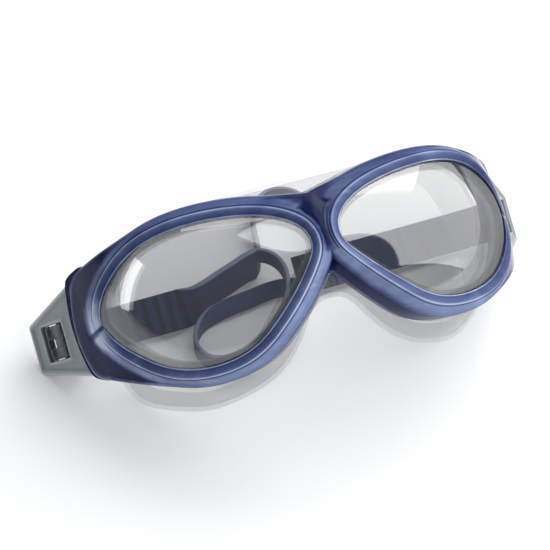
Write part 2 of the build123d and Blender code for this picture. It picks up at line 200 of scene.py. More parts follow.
def tidy_mesh(obj, smooth=40.0, join=1e-6):
    """Joins double points, turns the faces outwards and smooths all but sharp edges."""
    work = bmesh.new()
    work.from_mesh(obj.data)
    bmesh.ops.remove_doubles(work, verts=work.verts, dist=join)
    bmesh.ops.dissolve_degenerate(work, edges=work.edges, dist=1e-7)
    bmesh.ops.recalc_face_normals(work, faces=work.faces)
    limit = radians(smooth)
    for face in work.faces:
        face.smooth = True
    for edge in work.edges:
        edge.smooth = len(edge.link_faces) == 2 and edge.calc_face_angle(0.0) < limit
    work.to_mesh(obj.data)
    work.free()


def finish_piece(obj, body, slot, material, *nodes):
    """Gives a piece its body, its material and the CAD nodes it stands for; the slot argument is not
    used.
    """
    for vertex in obj.data.vertices:
        vertex.co.z = max(vertex.co.z, 0.0)
    obj.data.materials.clear()
    obj.data.materials.append(material)
    if body is not None:
        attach(obj, body)
    if nodes:
        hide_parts(*nodes)
    return obj


def joined(name, pieces):
    """One object from several."""
    work = bmesh.new()
    for piece in pieces:
        work.from_mesh(piece.data)
        bpy.data.objects.remove(piece)
    mesh = bpy.data.meshes.new(name)
    work.to_mesh(mesh)
    work.free()
    obj = bpy.data.objects.new(name, mesh)
    bpy.context.scene.collection.objects.link(obj)
    return obj


# ---------------------------------------------------------------- materials

def new_material(name):
    material = bpy.data.materials.new(name)
    material.use_nodes = True
    tree = material.node_tree
    return material, tree, tree.nodes["Principled BSDF"]


def ramp(tree, source, stops):
    node = tree.nodes.new("ShaderNodeValToRGB")
    node.color_ramp.elements[0].position, node.color_ramp.elements[0].color = stops[0]
    node.color_ramp.elements[1].position, node.color_ramp.elements[1].color = stops[-1]
    for position, colour in stops[1:-1]:
        node.color_ramp.elements.new(position).color = colour
    tree.links.new(source, node.inputs["Fac"])
    return node.outputs["Color"]


def noise(tree, scale, detail=3.0, stretch=(1.0, 1.0, 1.0), distortion=0.0):
    place = tree.nodes.new("ShaderNodeTexCoord")
    mapping = tree.nodes.new("ShaderNodeMapping")
    mapping.inputs["Scale"].default_value = stretch
    tree.links.new(place.outputs["Object"], mapping.inputs["Vector"])
    node = tree.nodes.new("ShaderNodeTexNoise")
    node.inputs["Scale"].default_value = scale
    node.inputs["Detail"].default_value = detail
    node.inputs["Distortion"].default_value = distortion
    tree.links.new(mapping.outputs["Vector"], node.inputs["Vector"])
    return node.outputs["Fac"]


def bump(tree, shader, source, strength, distance):
    node = tree.nodes.new("ShaderNodeBump")
    node.inputs["Strength"].default_value = strength
    node.inputs["Distance"].default_value = distance
    tree.links.new(source, node.inputs["Height"])
    tree.links.new(node.outputs["Normal"], shader.inputs["Normal"])


def vary_roughness(tree, shader, source, low, high):
    node = tree.nodes.new("ShaderNodeMapRange")
    node.inputs["To Min"].default_value = low
    node.inputs["To Max"].default_value = high
    tree.links.new(source, node.inputs["Value"])
    tree.links.new(node.outputs["Result"], shader.inputs["Roughness"])


def mixed(tree, factor, first, second):
    """Colour a fixed part of the way from the first colour to the second."""
    node = tree.nodes.new("ShaderNodeMix")
    node.data_type = "RGBA"
    node.inputs["Factor"].default_value = factor
    tree.links.new(first, node.inputs[6])        # the colour sockets, which share their names
    tree.links.new(second, node.inputs[7])       # with the float ones
    return node.outputs[2]


def plastic(name, dark, light, alpha=1.0, roughness=(0.12, 0.25), shade=None, grain=220.0,
            flow=14.0, coat=0.0, lift=0.15, bumps=0.00004, specular=0.5, streaks=0.0):
    """Moulded plastic: colour that drifts with the flow of the melt, and a faint skin texture.

    shade lists the colours for the mesh's painted light and shade, and streaks wanders between them."""
    material, tree, shader = new_material(name)
    flow_noise = noise(tree, flow, 4.0, (1.0, 0.6, 1.6), 0.6)
    colour = ramp(tree, flow_noise, [(0.3, dark), (0.7, light)])
    if shade:
        # The mesh's shade attribute holds its painted light and shade.
        attribute = tree.nodes.new("ShaderNodeAttribute")
        attribute.attribute_name = "shade"
        level = attribute.outputs["Fac"]
        if streaks:
            wisps = tree.nodes.new("ShaderNodeMapRange")
            wisps.inputs["To Min"].default_value = -streaks
            wisps.inputs["To Max"].default_value = streaks
            tree.links.new(noise(tree, 30.0, 4.0, (1.0, 4.0, 3.0), 1.2), wisps.inputs["Value"])
            total = tree.nodes.new("ShaderNodeMath")
            tree.links.new(level, total.inputs[0])
            tree.links.new(wisps.outputs["Result"], total.inputs[1])
            level = total.outputs["Value"]
        colour = mixed(tree, 0.9, colour, ramp(tree, level, shade))
    tree.links.new(colour, shader.inputs["Base Color"])
    fine = noise(tree, grain, 2.0)
    vary_roughness(tree, shader, fine, *roughness)
    if lift:
        bump(tree, shader, fine, lift, bumps)
    shader.inputs["Specular IOR Level"].default_value = specular
    shader.inputs["Alpha"].default_value = alpha
    shader.inputs["Coat Weight"].default_value = coat
    shader.inputs["Coat Roughness"].default_value = 0.05
    shader.inputs["IOR"].default_value = 1.5
    return material


NAVY = (0.003, 0.006, 0.045, 1)
DEEP = (0.014, 0.024, 0.1, 1)
DENIM = (0.08, 0.105, 0.235, 1)
SKY = (0.235, 0.29, 0.49, 1)
PALE = (0.58, 0.65, 0.84, 1)

# The frame's colours for its painted light and shade run from NAVY, painted shade, to SKY and PALE,
# painted highlights.
frame_blue = plastic(
    "frame_blue", DEEP, DENIM, roughness=(0.08, 0.18), specular=0.1, streaks=0.28,
    shade=[(0.0, NAVY), (0.22, DEEP), (0.5, DENIM), (0.78, SKY), (1.0, PALE)])
retainer_blue = plastic(
    "retainer_blue", DENIM, SKY, alpha=0.75, roughness=(0.2, 0.35), specular=0.3)
lens_smoke = plastic(
    "lens_smoke", (0.012, 0.012, 0.013, 1), (0.02, 0.02, 0.021, 1), alpha=0.37,
    roughness=(0.01, 0.02), lift=0.0)
lens_smoke.node_tree.nodes["Principled BSDF"].inputs["IOR"].default_value = 2.9
seal_clear = plastic(
    "seal_clear", (0.78, 0.80, 0.83, 1), (0.88, 0.9, 0.92, 1), alpha=0.22, roughness=(0.1, 0.25))
skirt_frost = plastic(
    "skirt_frost", (0.28, 0.28, 0.283, 1), (0.34, 0.34, 0.344, 1), alpha=0.15,
    roughness=(0.3, 0.42), flow=30.0)
# The arm's colours for its painted light and shade run from painted shade to a painted highlight.
arm_smoke = plastic(
    "arm_smoke", (0.2, 0.225, 0.245, 1), (0.26, 0.285, 0.305, 1), alpha=0.97,
    roughness=(0.25, 0.38), specular=0.35,
    shade=[(0.0, (0.1, 0.115, 0.13, 1)), (0.5, (0.32, 0.35, 0.375, 1)),
           (1.0, (0.62, 0.66, 0.69, 1))])
lever_dark = plastic(
    "lever_dark", (0.008, 0.013, 0.026, 1), (0.02, 0.03, 0.052, 1), roughness=(0.15, 0.3),
    coat=0.3, specular=0.4)
roller_grey = plastic(
    "roller_grey", (0.10, 0.11, 0.13, 1), (0.15, 0.16, 0.18, 1), roughness=(0.3, 0.5), coat=0.3)
# The strap's colours for its painted light and shade: painted shade in the rib grooves, a painted
# highlight on the edge.
strap_navy = plastic(
    "strap_navy", (0.02, 0.033, 0.115, 1), (0.034, 0.052, 0.16, 1), roughness=(0.42, 0.6),
    specular=0.4, grain=700.0, flow=40.0, lift=0.08, bumps=0.00003,
    shade=[(0.0, (0.009, 0.014, 0.055, 1)), (0.5, (0.03, 0.048, 0.165, 1)),
           (1.0, (0.3, 0.33, 0.48, 1))])
pin_steel = plastic(
    "pin_steel", (0.5, 0.5, 0.52, 1), (0.62, 0.62, 0.64, 1), roughness=(0.2, 0.35))
pin_steel.node_tree.nodes["Principled BSDF"].inputs["Metallic"].default_value = 1.0


# ---------------------------------------------------------------- frame, lenses and seals

opening = closed_curve(OPENING, COLUMNS)
along = np.roll(opening, -1, 0) - np.roll(opening, 1, 0)
outward = np.stack([along[:, 1], -along[:, 0]], axis=1)
outward /= np.linalg.norm(outward, axis=1)[:, None]


def frame_reach():
    """Width of the frame outside each point of the opening, and where it meets the middle."""
    steps = np.arange(0.0, 34.0, 0.1)
    across = opening[:, :1] + outward[:, :1] * steps
    up = opening[:, 1:] + outward[:, 1:] * steps
    x, _ = on_lens(across, up, BEZEL_HEIGHT)
    solid = (steps <= BEZEL_WIDTH) | inside(across, up, TEMPLE) | inside(x, up, BRIDGE)
    solid &= x > 0
    last = np.argmin(solid, axis=1) - 1
    reach = steps[last]
    to_middle = x[np.arange(COLUMNS), last] < 0.4
    smooth = reach.copy()
    for _ in range(6):
        smooth = (np.roll(smooth, 1) + 2 * smooth + np.roll(smooth, -1)) / 4
    # The smoothing stops short of the points that end on the middle.
    padded = np.concatenate([to_middle[-4:], to_middle, to_middle[:4]])
    beside_middle = np.convolve(padded, np.ones(9), "valid") > 0
    return np.where(beside_middle, reach, smooth), to_middle


reach, to_middle = frame_reach()


def lens_points(across, up, out):
    """Row-frame points over the right lens."""
    x, back = on_lens(across, up, out)
    return at(x, back, up)


def ring_points(distance, out):
    """Row-frame points a distance outside the opening and at a height over the lens."""
    return lens_points(opening[:, 0] + outward[:, 0] * distance,
                       opening[:, 1] + outward[:, 1] * distance, out)


def temple_fade(x):
    return np.clip((np.abs(x) - 64.0) / 22.0, 0, 1) ** 2


def ring_object(name, profile):
    """Closed ring round the right lens: profile lists (distance, height) pairs, one per row."""
    rows = [ring_points(distance, out) for distance, out in profile]
    return make_mesh(name, np.concatenate(rows), grid_faces(len(profile), COLUMNS, True, True))


def mirrored(obj, name):
    """Copy of an object on the other side of the mask."""
    mesh = obj.data.copy()
    mesh.transform(Matrix.Scale(-1, 4, (1, 0, 0)))
    mesh.flip_normals()
    copy = bpy.data.objects.new(name, mesh)
    bpy.context.scene.collection.objects.link(copy)
    return copy


def both_halves(name, points, faces, shade=None):
    """Whole piece from the grid of its right half, joined along the middle."""
    half = make_mesh(name + "_half", points, faces, shade=shade)
    work = bmesh.new()
    work.from_mesh(half.data)
    for vertex in work.verts:
        if vertex.co.x < MIDDLE_SNAP * MM:
            vertex.co.x = 0.0
    inner = [f for f in work.faces if all(v.co.x == 0.0 for v in f.verts)]
    bmesh.ops.delete(work, geom=inner, context="FACES")
    work.to_mesh(half.data)
    work.free()
    whole = joined(name, [mirrored(half, name + "_mirror"), half])
    tidy_mesh(whole, join=2e-5)
    return whole


# Section of the frame: distance from the opening, height over the lens, and how light it is painted: a
# painted highlight on the inner lip and the crest, painted shade in the groove outside the crest.
RING = [(0.0, 0.08, 0.4), (0.0, 0.4, 0.6), (0.1, 0.68, 0.9), (0.32, 0.86, 0.85), (0.55, 0.92, 0.45),
        (0.75, 1.0, 0.3), (1.0, 1.2, 0.42), (1.6, 1.62, 0.46), (2.2, 2.02, 0.5), (2.8, 2.38, 0.56),
        (3.15, 2.54, 0.7), (3.4, 2.6, 0.85), (3.6, 2.54, 0.6), (3.75, 2.38, 0.25), (3.9, 2.28, 0.14),
        (4.1, 2.34, 0.25), (4.35, 2.42, 0.48)]
# The outer edge, by distance in from the frame's reach, with its height and its painted light and
# shade as above.
EDGE = [(1.3, 1.85, 0.42), (0.95, 1.75, 0.42), (0.55, 1.5, 0.36), (0.22, 1.05, 0.24),
        (0.04, 0.5, 0.12), (0.0, 0.0, 0.08), (0.0, -1.4, 0.12), (0.0, -3.0, 0.18), (0.0, -4.8, 0.2),
        (0.12, -5.4, 0.24), (0.5, -5.9, 0.2), (1.0, -6.0, 0.15)]
LEDGE_ROWS = 10
LEDGE_HEIGHT = 1.65          # of the flat facet outside the bezel, over the lens
BACK_ROWS = 7
FRAME_BACK = -6.0
SEAT = 2.8                   # where the lens's seat ends
LENS_LEDGE = 2.2             # how far the lens runs in under the bezel
LENS_THICKNESS = 2.0
SEAM_PLACE = (46.5, 2.2)     # a moulding seam crosses the ring at the temple
SEAM_DEPTH = 0.45
LUG_RADIUS, LUG_ROOT = 2.6, -0.7
POCKET_FLOOR = -0.8          # how deep the arm's pocket is cut, out of the arm's face
TEMPLE_SHADE = 0.65          # part of the far temple's lightness that is painted away
BRIDGE_VALLEY = 1.55


def beside_seam(width, height):
    """How near the points of the opening are to the seam, from 0 to 1."""
    return np.exp(-((opening[:, 0] - SEAM_PLACE[0]) / width) ** 2
                  - ((opening[:, 1] - SEAM_PLACE[1]) / height) ** 2)


# Painted light: the facets beside the seam are painted lighter.
SEAM_PAINTED_LIGHT = beside_seam(3.5, 9.0)
SEAM = beside_seam(3.0, 0.55)


def arm_place(points):
    """Distances of row-frame points along the right arm, out of its face, and up."""
    y, z = points[:, 1] - MASK_BACK, points[:, 2] - MASK_UP
    back, up = y * cos(LEAN) - z * sin(LEAN), y * sin(LEAN) + z * cos(LEAN)
    x = points[:, 0] - ARM_X
    back = back - ARM_BACK
    return (x * cos(ARM_ANGLE) + back * sin(ARM_ANGLE),
            x * sin(ARM_ANGLE) - back * cos(ARM_ANGLE), up)


def frame_rows():
    """Rows of the frame's section, each (distance, height, painted lightness), from lens to back."""
    full = np.ones(COLUMNS)
    # Painted light: the ring's lower side is painted lighter, and the ledge is painted darker further
    # out.
    low_side = np.clip(-1.7 * outward[:, 1], 0, 1)
    rows = [(full * d, full * h, light + (d > 3.3) * 0.32 * low_side) for d, h, light in RING]
    inner, outer = RING[-1][0], reach - EDGE[0][0]
    for i in range(1, LEDGE_ROWS):
        distance = inner + (outer - inner) * i / LEDGE_ROWS
        slope = np.clip(1 - (distance - inner) / 1.9, 0, 1)
        away = np.clip((distance - 6.4) / 1.6, 0, 1)
        light = (0.44 + 0.32 * low_side) * (1 - away)
        rows.append((distance, LEDGE_HEIGHT + 0.77 * slope, light))
    # Where the frame is wide, as at the temples, its edge is painted darker; its lower front edge is
    # painted lighter.
    wide = np.clip((reach - 8.0) / 2.0, 0, 1)
    for d, h, light in EDGE:
        rows.append((reach - d, full * h, light * (1 - 0.7 * wide) + 0.28 * low_side * (h > 0.4)))
    # The frame's back is painted in shade and the lens's seat is painted light.
    for i in range(1, BACK_ROWS):
        share = i / BACK_ROWS
        distance = (reach - 1.0) * (1 - share) + SEAT * share
        rows.append((distance, full * FRAME_BACK, full * 0.15))
    rows += [(full * SEAT, full * h, full * 0.95) for h in (FRAME_BACK, -3.0, 0.08)]
    return rows


def front_frame():
    normal = np.array([sin(ARM_ANGLE), -cos(ARM_ANGLE) * cos(LEAN), cos(ARM_ANGLE) * sin(LEAN)])
    points, lights = [], []
    for distance, height, light in frame_rows():
        # At the nose the section runs on to the middle, where the two rings part in a valley.
        distance = np.where(to_middle, np.minimum(distance, reach), distance)
        across = opening[:, 0] + outward[:, 0] * distance
        up = opening[:, 1] + outward[:, 1] * distance
        x, _ = on_lens(across, up, height)
        fade = temple_fade(x)
        front = height > 0.2
        height = np.where(front, height * (1 - 0.8 * fade), height)
        valley = to_middle & (distance > RING[-1][0]) & front
        height = np.where(valley, BRIDGE_VALLEY + 0.3 * np.cos(pi * np.abs(x) / 6.0), height)
        seam = SEAM * (distance < 9.0) * front
        row = lens_points(across, up, height - SEAM_DEPTH * seam)
        # The arm's root lies in a pocket behind the frame's outer skin.
        along, out, level = arm_place(row)
        pocket = (along > -6.0) & (level > -20.0) & (level < 27.0) & ~front
        row = row + normal * np.where(pocket, np.maximum(POCKET_FLOOR - out, 0), 0)[:, None]
        points.append(row)
        # Painted light: the facets beside the seam are painted lighter, the top of the bridge darker,
        # a highlight is painted along the temple's outer edge, and the seam's groove is painted
        # darker.
        light = light + 0.5 * SEAM_PAINTED_LIGHT * (distance > 0.6) * (distance < 8.5) * front
        light = light - 0.5 * (to_middle & (distance > 5.0)) * np.clip((up - 4.0) / 6.0, 0, 1)
        rim = np.exp(-((reach - distance - 0.2) / 0.3) ** 2)
        light = np.where(fade > 0.02, light + 0.55 * fade * rim, light)
        lights.append(np.clip(np.where(front, light * (1 - 0.9 * seam), light), 0, 1))
    grid = grid_faces(len(points), COLUMNS, True, True)
    shell = both_halves("front_frame_shell", np.concatenate(points), grid, np.concatenate(lights))
    shade = shell.data.attributes["shade"].data
    for vertex in shell.data.vertices:
        # The right temple is painted darker than the left one, as it is lit from behind.
        past = min(1.0, max(0.0, (vertex.co.x / MM - 52.0) / 22.0))
        shade[vertex.index].value *= 1 - TEMPLE_SHADE * past
    pieces = [shell]
    for side in SIDES.values():
        for low, high in ((15.0, 20.0), (-13.0, -8.0)):
            lug = [(HINGE_ALONG - LUG_RADIUS, LUG_ROOT)]
            lug += disc(HINGE_ALONG, HINGE_BELOW, LUG_RADIUS, 24, 180.0, 360.0)
            lug += [(HINGE_ALONG + LUG_RADIUS, LUG_ROOT)]
            pieces.append(profile_along_up(side, lug, low, high, 0.2))
    piece = joined("front_frame_moulding", pieces)
    return finish_piece(piece, "root", "frame_blue", frame_blue, "front_frame")


def rear_frame():
    front, back = -6.3, -9.3
    inner = np.full(COLUMNS, 1.7)
    outer = reach - 1.2
    # It stops short of the arm's root.
    for distance in np.arange(20.0, 2.6, -0.2):
        along, _, _ = arm_place(ring_points(distance, -8.0))
        outer = np.where((along > -5.0) & (outer > distance), distance, outer)
    rows = [(inner, -6.9), (inner + 0.4, -6.35)]
    rows += [(inner + 0.4 + (outer - inner - 0.8) * i / 6, front) for i in range(1, 6)]
    rows += [(outer - 0.4, -6.35), (outer, -6.9), (outer, -8.7), (outer - 0.5, back)]
    rows += [(outer - 0.5 - (outer - inner - 1.0) * i / 6, back) for i in range(1, 6)]
    rows += [(inner + 0.5, back), (inner, -8.7)]
    points = [ring_points(np.where(to_middle & (d > reach - 3), reach, d), np.full(COLUMNS, h))
              for d, h in rows]
    grid = grid_faces(len(points), COLUMNS, True, True)
    piece = both_halves("rear_frame_ring", np.concatenate(points), grid)
    return finish_piece(piece, "root", "retainer_blue", retainer_blue, "rear_frame")


def lens_mesh():
    """Wrapped lens shell, in rows from its middle to its edge and back behind it."""
    shares = [0.04, 0.1, 0.18, 0.28, 0.38, 0.48, 0.58, 0.68, 0.77, 0.85, 0.92, 0.97, 1.0]
    edge = opening + outward * LENS_LEDGE
    points = []
    for shares_now, height in ((shares, 0.0), (shares[::-1], -LENS_THICKNESS)):
        for share in shares_now:
            flat = LENS_MIDDLE + (edge - LENS_MIDDLE) * share
            points.append(lens_points(flat[:, 0], flat[:, 1], np.full(COLUMNS, height)))
    rows = len(points)
    faces = grid_faces(rows, COLUMNS, False, True)
    faces.append(tuple(range(COLUMNS)))
    faces.append(tuple(range((rows - 1) * COLUMNS, rows * COLUMNS)))
    return make_mesh("lens_half", np.concatenate(points), faces, smooth=50.0)


def lenses_and_seals():
    lens = lens_mesh()
    seal = ring_object("seal_half", [
        (-2.6, -2.6), (-2.3, -2.1), (-1.4, -2.04), (0.3, -2.04), (0.8, -2.5), (0.8, -4.2), (0.8, -5.6),
        (0.4, -6.0), (-1.0, -6.0), (-2.2, -5.8), (-2.6, -5.2), (-2.6, -3.9)])
    for name, side in SIDES.items():
        own_lens = lens if side > 0 else mirrored(lens, "left")
        own_seal = seal if side > 0 else mirrored(seal, "left")
        own_lens.name = name + "_lens_shell"
        own_seal.name = name + "_seal_ring"
        finish_piece(own_lens, "root", "lens_smoke", lens_smoke, name + "_lens")
        finish_piece(own_seal, "root", "seal_clear", seal_clear, name + "_lens_gasket")


# ---------------------------------------------------------------- skirt

CLAMP_DEPTH = 10.0           # of the skirt's clamped flange, behind the lens


def face_skirt():
    """Skirt from the rear frame to the face, as one wall with a rolled lip turned inwards."""
    halves = [((-near[0], near[1]), (-far[0], far[1])) for near, far in reversed(SKIRT_HALF)]
    outline = SKIRT_HALF + halves
    near = closed_curve([n for n, _ in outline], 2 * COLUMNS)
    far = closed_curve([f for _, f in outline], 2 * COLUMNS)
    near_back = wrap(near[:, 0], near[:, 1], -CLAMP_DEPTH)
    far_back = (18.0 + 50.0 * (np.abs(far[:, 0]) / 77.0) ** 1.6
                + 0.22 * np.maximum(0, far[:, 1] + 10.0))

    def row(share, inset, push):
        """Points a share of the way to the face, a distance inwards and a distance back."""
        flat = near * (1 - share) + far * share
        tangent = np.roll(flat, -3, 0) - np.roll(flat, 3, 0)
        inward = np.stack([tangent[:, 1], -tangent[:, 0]], axis=1)
        inward /= np.linalg.norm(inward, axis=1)[:, None]
        flat = flat + inward * inset
        back = near_back * (1 - share) + far_back * share + push
        if share == 0.0:
            back = wrap(flat[:, 0], flat[:, 1], -CLAMP_DEPTH - push)
        return at(flat[:, 0], back, flat[:, 1])

    wall, bulge, lip_drop = 1.3, 0.9, 3.2
    # Clamped flange, outer side, rim, lip outside and inside, inner side, and back to the flange.
    rows = [row(0.0, 3.9, 0.0), row(0.0, 2.6, 0.0), row(0.0, 1.2, 0.0), row(0.0, 0.4, 0.05),
            row(0.02, 0.0, 0.3)]
    rows += [row(s, -bulge * sin(pi * s), 0.0) for s in np.linspace(0.08, 0.97, 16)]
    rows += [row(1.0, 0.05, -0.1), row(1.0, 0.4, 0.25), row(1.0, 1.0, 0.3), row(1.0, 1.8, 0.1)]
    rows += [row(1.0, 2.0 + 5.0 * t, -lip_drop * t**1.5) for t in np.linspace(0.1, 1.0, 7)]
    rows += [row(1.0, 7.2, -3.7)]
    rows += [row(1.0, 2.2 + 4.8 * t, -lip_drop * t**1.5 - 0.9 - 0.4 * (1 - t))
             for t in np.linspace(0.95, 0.0, 7)]
    rows += [row(0.97, wall, -1.2)]
    rows += [row(s, wall - bulge * sin(pi * s), 0.0) for s in np.linspace(0.9, 0.1, 14)]
    rows += [row(0.0, wall, wall), row(0.0, 2.6, wall), row(0.0, 3.7, wall), row(0.0, 3.9, wall / 2)]
    grid = grid_faces(len(rows), 2 * COLUMNS, True, True)
    piece = make_mesh("face_skirt_silicone", np.concatenate(rows), grid, smooth=60.0)
    return finish_piece(piece, "root", "skirt_frost", skirt_frost, "face_skirt")


# ---------------------------------------------------------------- strap

STRAP_WIDTH = 16.0
STRAND_WIDTH = 7.4
STRAP_THICKNESS = 1.8
STRAND_THICKNESS = STRAP_THICKNESS - 0.06    # so that the strands end inside the runs
RUN_BACK = 79.7              # middle of the straight runs
RUN_END = 74.0
RIB_HEIGHT = 0.75
UP_DIRECTION = np.array([0.0, sin(LEAN), cos(LEAN)])
Z_DIRECTION = np.array([0.0, 0.0, 1.0])


def unit(vectors):
    return vectors / np.linalg.norm(vectors, axis=-1, keepdims=True)


def ribs(start, end, pitch):
    """Height of the ribs between two lengths, as a function of the length along a band."""
    def lift(length):
        wave = np.clip(2.2 * np.sin(pi * (length - start) / pitch) ** 2 - 0.5, 0, 1)
        return wave * (length > start) * (length < end)
    return lift


def pads(*spans):
    """Height of raised pads with soft ends."""
    def lift(length):
        return sum(np.clip(np.minimum(length - start, end - length) / 0.5, 0, 1)
                   for start, end in spans)
    return lift


def band(name, path, across, width, thickness=STRAP_THICKNESS, raised=(), step=1.0):
    """Rubber band along a path; across gives its width direction at each path point.

    raised lists the ribs and pads on the side that faces the mask."""
    path = np.array(path, float)
    joint = open_curve(np.concatenate([path, np.array(across, float)], axis=1), step)
    centre, wide = joint[:, :3], joint[:, 3:]
    tangent = unit(np.gradient(centre, axis=0))
    wide = unit(wide - tangent * np.sum(wide * tangent, axis=1)[:, None])
    normal = np.cross(tangent, wide)
    length = np.concatenate([[0], np.cumsum(np.linalg.norm(np.diff(centre, axis=0), axis=1))])
    lift = RIB_HEIGHT * sum((height(length) for height in raised), np.zeros(len(length)))
    half, r = thickness / 2, 0.45
    outline = []
    for corner, (sx, sy) in enumerate(((1, 1), (-1, 1), (-1, -1), (1, -1))):
        for k in range(4):
            a = pi / 2 * (corner + k / 3)
            outline.append((sx * (width / 2 - r) + r * cos(a), sy * (half - r) + r * sin(a), sy))
        if corner == 0:
            for k in range(1, 8):
                outline.append(((width / 2 - r) * (1 - k / 4), half, 1))
        if corner == 2:
            for k in range(1, 8):
                outline.append((-(width / 2 - r) * (1 - k / 4), -half, -1))
    plain = np.full(len(length), 0.5)
    points, lights = [], []
    for w, n, top in outline:
        rises = lift if top > 0 else 0 * lift
        points.append(centre + wide * w + normal * (n + rises)[:, None])
        # Painted light: the grooves between the ribs are painted in shade, and the band's edge on one
        # side carries a painted highlight.
        edge = 0.35 if w > width / 2 - 0.2 else 0.0
        lights.append((0.12 + 0.34 * rises / RIB_HEIGHT if top > 0 and raised else plain) + edge)
    rows, count = len(outline), len(centre)
    faces = grid_faces(rows, count, True, False)
    faces.append(tuple(r * count for r in range(rows)))
    faces.append(tuple(r * count + count - 1 for r in range(rows)))
    shade = np.concatenate(lights)
    return make_mesh(name, np.concatenate(points), faces, smooth=35.0, shade=shade)


def floor_points(pairs, height):
    """Row-frame points from (x, distance behind the nose bridge) pairs."""
    return [(x, MASK_BACK + behind, height) for x, behind in pairs]


def path_points(*places):
    """Row-frame points from (x, distance behind the nose bridge, height) places."""
    return [(x, MASK_BACK + behind, height) for x, behind, height in places]


def run_point(x, up=ARM_MID, back=RUN_BACK):
    return tuple(at(np.float64(x), np.float64(back), np.float64(up)))


def head_strap():
    """Two ribbed runs out of the buckles, and the split slack middle that lies in two loops."""
    pieces = []
    left = [run_point(x) for x in (-RUN_END, -64, -54, -46)]
    left += path_points((-38.5, 52.6, 7.2))
    left += floor_points(
        [(-32.5, 55.0), (-25.5, 57.8), (-18, 60.7), (-11.5, 63.2), (-7.5, 64.0)], 8.0)
    turn = [UP_DIRECTION] * 4 + [UP_DIRECTION * 0.4 + Z_DIRECTION * 0.6] + [Z_DIRECTION] * 5
    raised = [ribs(1.0, 31.0, 5.0), pads((32.5, 90.0))]
    pieces.append(band("left_run", left, turn, STRAP_WIDTH, raised=raised, step=0.33))
    # Upper strand: the arch, down to the curl on the table and along to the right run.
    arch = floor_points([(-12, 62.9), (-7.5, 64)], 12.3)
    arch += path_points((-2.5, 61.2, 12.3), (0.3, 55.5, 12.2), (0.2, 47.5, 12.0), (-3, 39, 11.8),
                        (-10, 30, 11.0), (-20, 22.5, 9.2), (-28, 20, 7.2), (-35, 21, 5.2),
                        (-40.5, 24.5, 4.0))
    arch += floor_points([(-43.2, 31), (-41.8, 38)], 3.75) + floor_points([(-36.5, 44.5)], 3.6)
    arch += floor_points([(-27, 48.5), (-14, 50.4), (-2, 51.4)], 3.3)
    arch += [run_point(x, -2.6) for x in (8, 13, 18)]
    lean = [Z_DIRECTION * 0.7 + UP_DIRECTION * 0.3]
    turn = [Z_DIRECTION] * 13 + lean + [UP_DIRECTION] * 6
    pieces.append(band("front_strand", arch, turn, STRAND_WIDTH, STRAND_THICKNESS, step=0.8))
    # Lower strand: the long loop behind the mask.
    loop = floor_points([(-12, 62.9), (-7.5, 64), (-4.5, 68), (-2, 76), (1, 90), (6, 99), (14, 103),
                         (22, 100), (26, 92), (25, 82), (21.5, 72)], 3.75)
    loop += path_points((18.0, 63.0, 5.2), (17.5, 57.0, 8.2))
    loop += [run_point(22, 5.8), run_point(26, 5.8)]
    turn = [Z_DIRECTION] * 12 + [UP_DIRECTION] * 3
    pieces.append(band("back_strand", loop, turn, STRAND_WIDTH, STRAND_THICKNESS, step=0.8))
    right = [run_point(x) for x in (6, 20, 40, 60, RUN_END)]
    raised = [ribs(2.0, 20.2, 2.6), pads((21.5, 45.3), (46.5, 55.2), (56.4, 68.0))]
    turn = [UP_DIRECTION] * 5
    pieces.append(band("right_run", right, turn, STRAP_WIDTH, raised=raised, step=0.26))
    strap = joined("head_strap_band", pieces)
    return finish_piece(strap, "root", "strap_navy", strap_navy, "head_strap")


def arm_point(side, along, below, up):
    """Row-frame point from an arm's own distances."""
    x = side * (ARM_X + along * cos(ARM_ANGLE) + below * sin(ARM_ANGLE))
    return at(x, ARM_BACK + along * sin(ARM_ANGLE) - below * cos(ARM_ANGLE), up + 0.0 * x)


def strap_tail(name, side):
    """The stretch that flexes, the turn round the roller and the short free end."""
    roller_x = ARM_X + ROLLER_ALONG * cos(ARM_ANGLE) + ROLLER_BELOW * sin(ARM_ANGLE)
    roller_back = ARM_BACK + ROLLER_ALONG * sin(ARM_ANGLE) - ROLLER_BELOW * cos(ARM_ANGLE)
    bend = 3.2
    corners = [(RUN_END, RUN_BACK), (RUN_END + 3, 78.6), (80.0, 76.4),
               (roller_x - 4.5, roller_back + bend)]
    corners += [(roller_x + bend * cos(radians(a)), roller_back + bend * sin(radians(a)))
                for a in (90, 60, 30, 0, -30, -60, -90)]
    corners += [(roller_x - 2.5, roller_back - bend), (roller_x - 5.0, roller_back - bend)]
    path = [run_point(side * x, ARM_MID, back) for x, back in corners]
    tail = band(name + "_strap_turn", path, [UP_DIRECTION] * len(path), STRAP_WIDTH, step=0.5)
    finish_piece(tail, None, "strap_navy", strap_navy, name + "_strap_flex", name + "_strap_end")
    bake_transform(tail)


# ---------------------------------------------------------------- arms

ARM_OUTLINE = [(0.0, 23.4), (35.0, 11.0), (35.0, -8.8), (0.0, -15.1)]
WINDOW = [(14.2, 8.9), (27.0, 8.9), (27.0, -4.9), (14.2, -4.9)]
ARM_COLUMNS = 160
PLATE_BACK = -4.6
CHEEK = 1.6                  # thickness of the two cheeks beside the strap
CHEEK_GAP = 0.4
KNUCKLE_RADIUS = 2.2
KNUCKLE_SPAN = (-7.7, 14.7)
RIGHT_ARM_PAINTED_SHADE = 0.35       # part of the right arm's painted lightness that is left, so the right arm is painted in shade
PIN_ALONG, PIN_BELOW = 24.9, -3.1            # the lever's pin
COVER_SPAN = (0.0, 3.2)      # middle of the lever, where its spring sits


